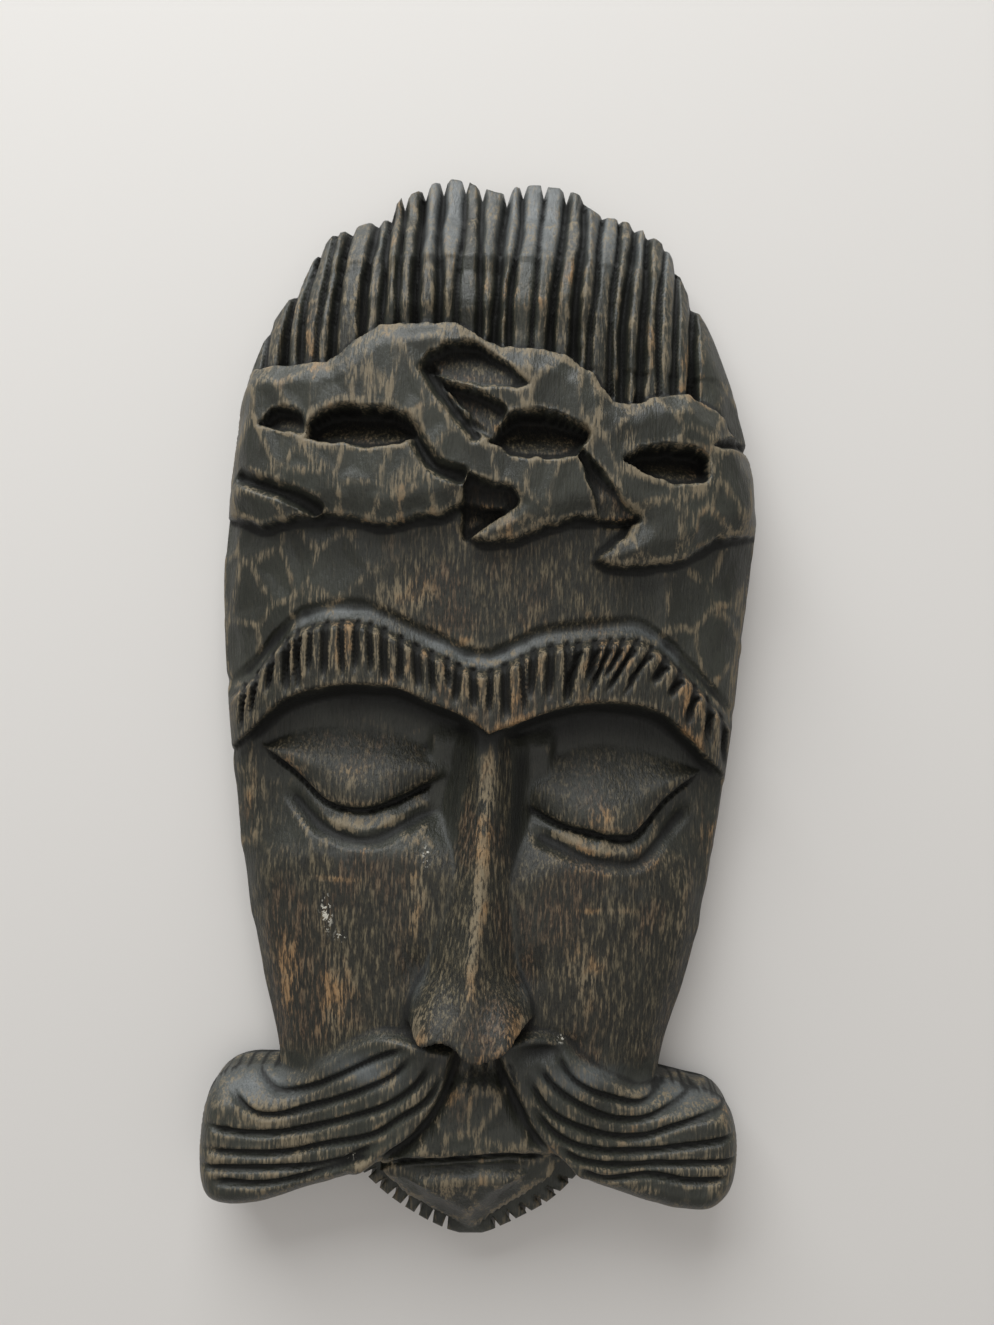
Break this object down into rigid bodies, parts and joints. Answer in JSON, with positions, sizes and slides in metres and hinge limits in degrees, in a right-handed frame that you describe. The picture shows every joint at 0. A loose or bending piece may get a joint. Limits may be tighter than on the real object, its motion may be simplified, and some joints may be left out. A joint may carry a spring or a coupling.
{
  "type": "carved wooden wall mask",
  "caption": "Carved wooden face mask with combed hair, a twisted openwork headband, closed eyes, a long nose, a winged moustache and a pointed chin with a cut fringe.",
  "frame": {"origin": "centre of the bounding box in the plane of the flat back, which is the underside", "axes": "+Z out of the face, away from the flat back; +Y from the chin to the hair; +X to the viewer's right"},
  "size_m": [0.1532, 0.2993, 0.0498],
  "materials": {
    "stained_wood": "charcoal stain rubbed through to brown on the ridges, satin wax"
  },
  "bodies": {
    "root": {"carved_mask": "stained_wood"}
  },
  "joints": []
}
